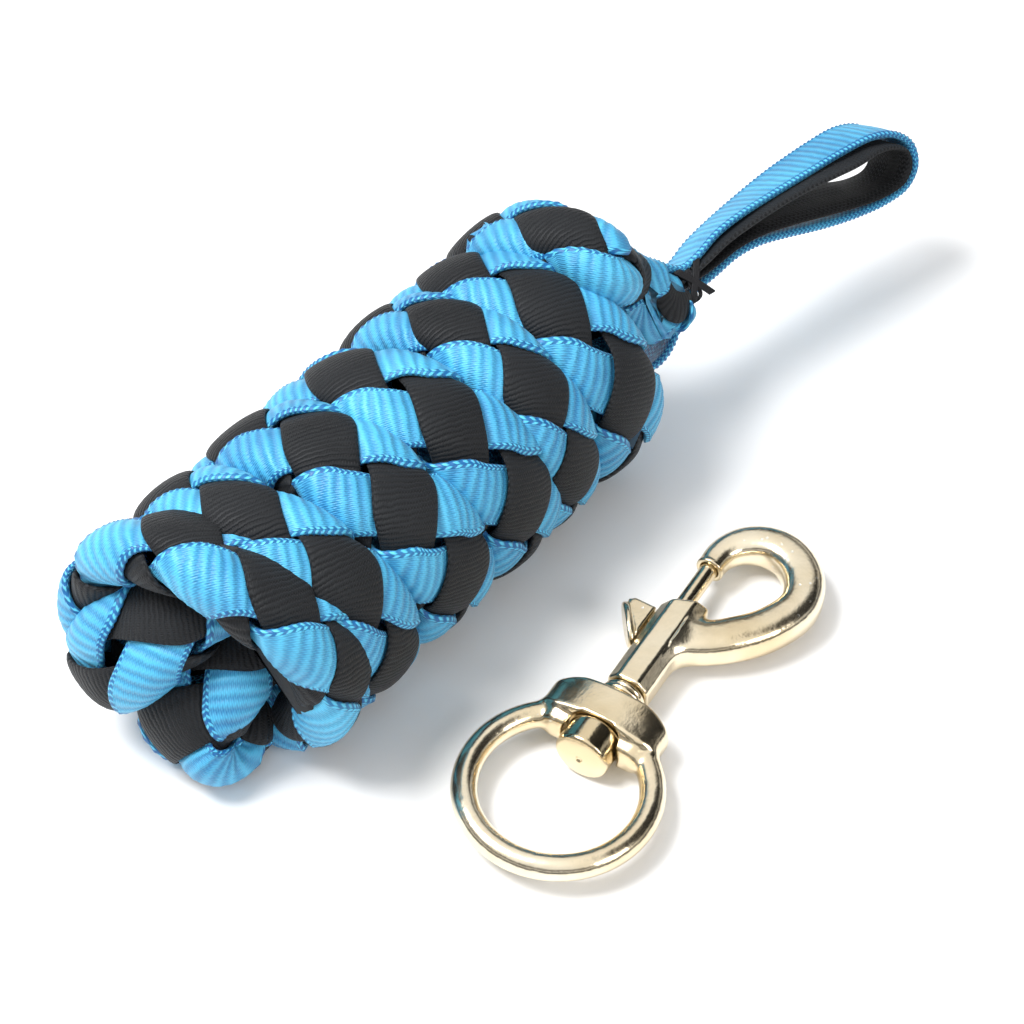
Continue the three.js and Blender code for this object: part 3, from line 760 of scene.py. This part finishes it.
# ---- Swivel bolt snap -------------------------------------------------------------------------
# Lengths in the snap's own axes: x from the ring's centre towards the hook, y across, z up.
SNAP_CENTRE = BASE + np.array([-58.8, -62.1, 7.0])
SNAP_TURN = math.radians(8.9)
RING_R, WIRE = 20.0, 2.9
BOSS_X, BOSS_HALF_X, BOSS_HALF_Y, BOSS_HALF_Z = 20.75, 4.75, 14.4, 6.5
CHEEK_FROM, CHEEK_HALF_Y, CHEEK_HALF_Z = 12.8, 10.8, 3.8
POCKET_R, SEAT, SHANK_HOLE = 7.05, 16.6, 2.8
BARREL_FROM, BARREL_TO, BARREL_HALF, BARREL_CORNER = 29.5, 56.3, 5.0, 2.6
BOLT_Y, BORE_R, BORE_FROM, BORE_TO = 1.2, 2.3, 33.0, 73.2
NOSE_X = 70.2
# Centre of the hook, half its width in the plane and half its thickness, from barrel to nose.
HOOK_STATIONS = [
    (43.0, 0.0, 3.0, 3.6), (46.0, -2.2, 3.8, 3.9), (49.5, -6.6, 4.7, 4.2), (54.5, -12.6, 5.0, 4.4),
    (61.5, -18.3, 4.8, 4.5), (70.5, -21.4, 4.7, 4.6), (78.2, -18.9, 4.8, 4.6),
    (82.8, -13.2, 4.7, 4.6), (83.4, -7.4, 4.5, 4.4), (80.7, -2.2, 4.1, 4.0), (76.0, 0.7, 3.5, 3.4),
    (70.2, 1.2, 3.1, 3.1), (66.0, 1.2, 3.1, 3.1),
]
HOOK_CENTRE = even(catmull(HOOK_STATIONS, 16), 0.3)


def smin(a, b, k):
    """The union of two solids, with a fillet of about k."""
    h = np.clip(0.5 + 0.5 * (b - a) / k, 0, 1)
    return b + (a - b) * h - k * h * (1 - h)


def smax(a, b, k):
    """What two solids share, with edges rounded by about k."""
    return -smin(-a, -b, k)


def oval(u, v, a, b, power):
    """Roughly the distance outside an oval with half sizes a and b."""
    pu, pv = np.abs(u / a) + 1e-6, np.abs(v / b) + 1e-6
    g = (pu ** power + pv ** power) ** (1 / power)
    slope = np.hypot(pu ** (power - 1) / a, pv ** (power - 1) / b) * g ** (1 - power)
    return (g - 1) / np.maximum(slope, 0.5 / np.maximum(a, b))


def slab(x, low, high):
    return np.maximum(low - x, x - high)


def polygon(x, y, corners):
    """Signed distance to a closed polygon."""
    best = np.full(x.shape, 1e9)
    inside = np.zeros(x.shape, bool)
    for (ax, ay), (bx, by) in zip(corners, corners[1:] + corners[:1]):
        ex, ey = bx - ax, by - ay
        wx, wy = x - ax, y - ay
        t = np.clip((wx * ex + wy * ey) / (ex * ex + ey * ey), 0, 1)
        best = np.minimum(best, (wx - ex * t) ** 2 + (wy - ey * t) ** 2)
        crosses = (ay > y) != (by > y)
        inside ^= crosses & (x < (bx - ax) * (y - ay) / (by - ay + 1e-12) + ax)
    return np.sqrt(best) * np.where(inside, -1, 1)


def eye_shape(x, y, z):
    ring = np.hypot(np.hypot(x, y) - RING_R, z) - WIRE
    # The collar is shorter at its two ends.
    narrow = 1.7 * np.clip((np.abs(y) - 7) / 7.5, 0, 1) ** 1.5
    faces = np.abs(x - BOSS_X + narrow * 0.5) - BOSS_HALF_X + narrow
    section = smax(oval(y, z, BOSS_HALF_Y + 0.8, BOSS_HALF_Z, 2.05), np.abs(y) - BOSS_HALF_Y, 1.6)
    boss = smax(section, faces, 1.1)
    cheeks = smax(smax(slab(x, CHEEK_FROM, BOSS_X), np.abs(y) - CHEEK_HALF_Y, 1.6),
                  np.abs(z) - CHEEK_HALF_Z, 2.2)
    solid = smin(smin(ring, boss, 1.4), cheeks, 2.4)
    pocket = np.maximum(np.hypot(y, z) - POCKET_R, slab(x, 5.0, SEAT))
    hole = np.maximum(np.hypot(y, z) - SHANK_HOLE, 5.0 - x)
    return smax(smax(solid, -pocket, 0.5), -hole, 0.4)


def hook_sweep(x, y, z):
    """Roughly the distance outside the hook's bar, which changes its section as it goes round."""
    line = HOOK_CENTRE.astype(np.float32)
    flat = np.stack([x.ravel(), y.ravel()], 1).astype(np.float32)
    near = np.empty(len(flat), int)
    for i in range(0, len(flat), 40000):
        part = flat[i:i + 40000]
        gap = ((part[:, None, 0] - line[None, :, 0]) ** 2
               + (part[:, None, 1] - line[None, :, 1]) ** 2)
        near[i:i + 40000] = gap.argmin(1)
    last = len(HOOK_CENTRE) - 2
    i = np.clip(near, 1, last)
    before, after = HOOK_CENTRE[i - 1], HOOK_CENTRE[i + 1]
    run = after[:, :2] - before[:, :2]
    t = np.clip(((flat - before[:, :2]) * run).sum(1) / (run * run).sum(1), 0, 1)[:, None]
    at = before + (after - before) * t
    away = np.hypot(*(flat - at[:, :2]).T).reshape(x.shape)
    return oval(away, z, at[:, 2].reshape(x.shape), at[:, 3].reshape(x.shape), 2.6)


def hook_shape(x, y, z):
    side, top = np.abs(y), np.abs(z)
    barrel = smax(smax(side - BARREL_HALF, top - BARREL_HALF, 0.5),
                  (side + top - 2 * BARREL_HALF + BARREL_CORNER) / math.sqrt(2), 0.5)
    # The end of the barrel slopes back on the thumb plate's side.
    barrel = smax(barrel, slab(x, BARREL_FROM, BARREL_TO - 0.42 * y), 0.9)
    bar = smax(hook_sweep(x, y, z), -(x - NOSE_X) - 60 * np.clip((-2.2 - y) / 2, 0, 1), 0.4)
    lip = smax(np.hypot(y - BOLT_Y, z) - 3.3, slab(x, NOSE_X, NOSE_X + 0.9), 0.3)
    solid = smin(smin(barrel, bar, 3.2), lip, 0.3)
    bore = np.maximum(np.hypot(y - BOLT_Y, z) - BORE_R, slab(x, BORE_FROM, BORE_TO))
    slot = np.maximum(np.maximum(np.abs(z) - 1.7, BOLT_Y - y), slab(x, 38.0, 52.7))
    drilling = np.maximum(np.hypot(y, z) - 2.8, x - 32.2)
    return smax(smax(smax(solid, -bore, 0.3), -slot, 0.4), -drilling, 0.3)


PLATE_X, PLATE_Y = 46.6, 9.2


def knob_shape(x, y, z):
    # A tilted oval thumb plate with a rib behind it, on a stem that goes down the slot.
    along = (x - PLATE_X) * 0.80 + (y - PLATE_Y) * 0.60
    out = (y - PLATE_Y) * 0.80 - (x - PLATE_X) * 0.60
    plate = smax(oval(along, z, 6.0, 3.7, 2.1), np.abs(out) - 0.75, 0.7)
    rib = smax(polygon(x, y, [(43.5, 5.6), (50.6, 11.6), (52.2, 12.2), (53.3, 10.9), (53.2, 5.6)]),
               np.abs(z) - 2.0, 0.9)
    stem = smax(polygon(x, y, [(49.4, 3.3), (52.2, 3.3), (52.2, 6.5), (49.4, 6.5)]),
                np.abs(z) - 1.25, 0.3)
    return smin(smin(plate, rib, 0.5), stem, 0.4)


def rivet_shape(x, y, z):
    r = np.hypot(y, z)
    head = smax(r - 6.35, slab(x, 8.5 + 0.02 * r ** 2, 16.3), 0.9)
    shank = smax(r - 2.5, slab(x, 12.0, 31.6), 0.3)
    mark = np.hypot(r, x - 8.2) - 0.95
    return smax(smin(head, shank, 0.4), -mark, 0.3)


def washer_shape(x, y, z):
    # Two turns of flat wire, seen as two rounded rings.
    r = np.hypot(y, z)
    first = np.hypot(np.maximum(np.abs(r - 4.25) - 0.5, 0), x - 26.85) - 0.85
    second = np.hypot(np.maximum(np.abs(r - 3.95) - 0.4, 0), x - 28.3) - 0.75
    return smin(first, second, 0.25)


def bolt_shape(x, y, z):
    r = np.hypot(y - BOLT_Y, z)
    return smax(r - 2.1, slab(x, 48.6, 72.6), 0.5)


def cast_piece(name, shape, low, high, voxel, material):
    """A closed mesh of the surface where shape is 0, in the snap's axes, put in its place."""
    low = np.array(low, float)
    grids = [np.arange(a, b + voxel, voxel) for a, b in zip(low, high)]
    field = shape(*np.meshgrid(*grids, indexing="ij")).astype(np.float32)
    grid = openvdb.FloatGrid(3.0)
    grid.copyFromArray(field)
    points, quads = grid.convertToQuads(0.0)
    points = points.astype(float) * voxel + low
    for _ in range(2):
        points = drawn_in(points, shape, 0.04)
    cos, sin = math.cos(SNAP_TURN), math.sin(SNAP_TURN)
    placed = np.stack([points[:, 0] * cos - points[:, 1] * sin,
                       points[:, 0] * sin + points[:, 1] * cos, points[:, 2]], 1) + SNAP_CENTRE
    return mesh_object(name, placed, quads[:, ::-1], material)


def drawn_in(points, shape, step):
    """Moves points onto the exact surface of the shape."""
    x, y, z = points.T
    here = shape(x, y, z)
    slope = np.stack([shape(x + step, y, z) - shape(x - step, y, z),
                      shape(x, y + step, z) - shape(x, y - step, z),
                      shape(x, y, z + step) - shape(x, y, z - step)], 1) / (2 * step)
    size = np.maximum((slope ** 2).sum(1), 0.2)
    return points - np.clip(here / size, -0.2, 0.2)[:, None] * slope


def make_snap():
    for name, shape, node, body, low, high, voxel, material in (
            ("snap_eye", eye_shape, "swivel_eye", "eye", (-24, -24, -8), (27, 24, 8), 0.32, BRASS),
            ("snap_rivet", rivet_shape, "swivel_rivet", "snap", (7, -8, -8), (33, 8, 8), 0.25,
             BRASS_SMOOTH),
            ("snap_washer", washer_shape, "swivel_washer", "snap", (25, -7, -7), (30.2, 7, 7), 0.2,
             BRASS_SMOOTH),
            ("snap_hook", hook_shape, "hook_body", "snap", (28.5, -28, -6), (90, 7, 6), 0.32,
             BRASS),
            ("snap_bolt", bolt_shape, "bolt_plunger", "bolt", (47.5, -2, -3.2), (73.6, 4.4, 3.2),
             0.22, BRASS_SMOOTH),
            ("snap_thumb_knob", knob_shape, "thumb_knob", "bolt", (38, 2, -5), (56, 15, 5), 0.25,
             BRASS)):
        piece = cast_piece(name, shape, low, high, voxel, material)
        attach(piece, body)
        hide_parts(node)
    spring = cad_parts["bolt_spring"]
    for place in spring.material_slots:
        place.material = STEEL


make_snap()


# ---- Floor and light --------------------------------------------------------------------------
FLOOR_HALF = 1500
# Name, place in metres, size in metres and power in watts.
LAMPS = [("key", (-0.30, 0.30, 0.75), 0.35, 8.5), ("fill", (-0.05, -0.80, 0.50), 0.30, 2.5)]


def make_stage():
    corners = np.array([[-1, -1, 0], [1, -1, 0], [1, 1, 0], [-1, 1, 0]]) * FLOOR_HALF
    mesh_object("floor", corners, [[0, 1, 2, 3]], stage_material())
    view = bpy.context.scene.view_settings
    view.view_transform = "Standard"
    view.look = "None"
    studio_sky()
    for name, place, size, power in LAMPS:
        data = bpy.data.lights.new(name, "AREA")
        data.size = size
        data.energy = power
        lamp = bpy.data.objects.new(name, data)
        lamp.location = place
        lamp.rotation_euler = Vector(place).to_track_quat("Z", "Y").to_euler()
        bpy.context.scene.collection.objects.link(lamp)


# Height in the sky, from 0 at the horizon to 1 overhead, and brightness.
SKY_BANDS = [(0.0, 0.02), (0.20, 0.03), (0.27, 0.80), (0.38, 0.95), (0.43, 0.06), (0.55, 0.06),
             (0.62, 1.15), (1.0, 1.45)]
SKY_STRENGTH = 0.8
BACKDROP = (1.06, 1.08, 1.10, 1)
FLAG_TOWARDS = (0.58, -0.40, 0.71)


def studio_sky():
    """White overhead, with darker bands low down that give metal its dark reflections."""
    world = bpy.data.worlds.new("studio")
    world.use_nodes = True
    tree = world.node_tree
    ground = tree.nodes["Background"]
    place = tree.nodes.new("ShaderNodeTexCoord")
    split = tree.nodes.new("ShaderNodeSeparateXYZ")
    ramp = tree.nodes.new("ShaderNodeValToRGB")
    while len(ramp.color_ramp.elements) < len(SKY_BANDS):
        ramp.color_ramp.elements.new(0.5)
    for element, (at, level) in zip(ramp.color_ramp.elements, SKY_BANDS):
        element.position = at
        element.color = (level, level, level, 1)
    tree.links.new(place.outputs["Generated"], split.inputs[0])
    tree.links.new(split.outputs["Z"], ramp.inputs[0])
    # A dark flag stands off to one side.
    toward = tree.nodes.new("ShaderNodeVectorMath")
    toward.operation = "DOT_PRODUCT"
    toward.inputs[1].default_value = Vector(FLAG_TOWARDS).normalized()
    tree.links.new(place.outputs["Generated"], toward.inputs[0])
    flag = tree.nodes.new("ShaderNodeMapRange")
    flag.inputs["From Min"].default_value = 0.86
    flag.inputs["From Max"].default_value = 0.92
    flag.inputs["To Min"].default_value = 1.0
    flag.inputs["To Max"].default_value = 0.02
    tree.links.new(toward.outputs["Value"], flag.inputs["Value"])
    dim = tree.nodes.new("ShaderNodeVectorMath")
    dim.operation = "SCALE"
    tree.links.new(ramp.outputs["Color"], dim.inputs[0])
    tree.links.new(flag.outputs["Result"], dim.inputs["Scale"])
    # The metal mirrors the bands, while the camera sees a plain pale backdrop.
    rays = tree.nodes.new("ShaderNodeLightPath")
    seen = tree.nodes.new("ShaderNodeMix")
    seen.data_type = "RGBA"
    seen.inputs[7].default_value = BACKDROP
    tree.links.new(rays.outputs["Is Camera Ray"], seen.inputs[0])
    tree.links.new(dim.outputs[0], seen.inputs[6])
    tree.links.new(seen.outputs[2], ground.inputs[0])
    ground.inputs[1].default_value = SKY_STRENGTH
    bpy.context.scene.world = world


def stage_material():
    n = Nodes("floor")
    space = n.add("ShaderNodeTexCoord").outputs["Object"]
    grain = n.noise(space, 30, 2)
    return n.finish(n.mix(grain, (0.90, 0.90, 0.90), (0.94, 0.94, 0.94)), 0.9, None)


make_stage()
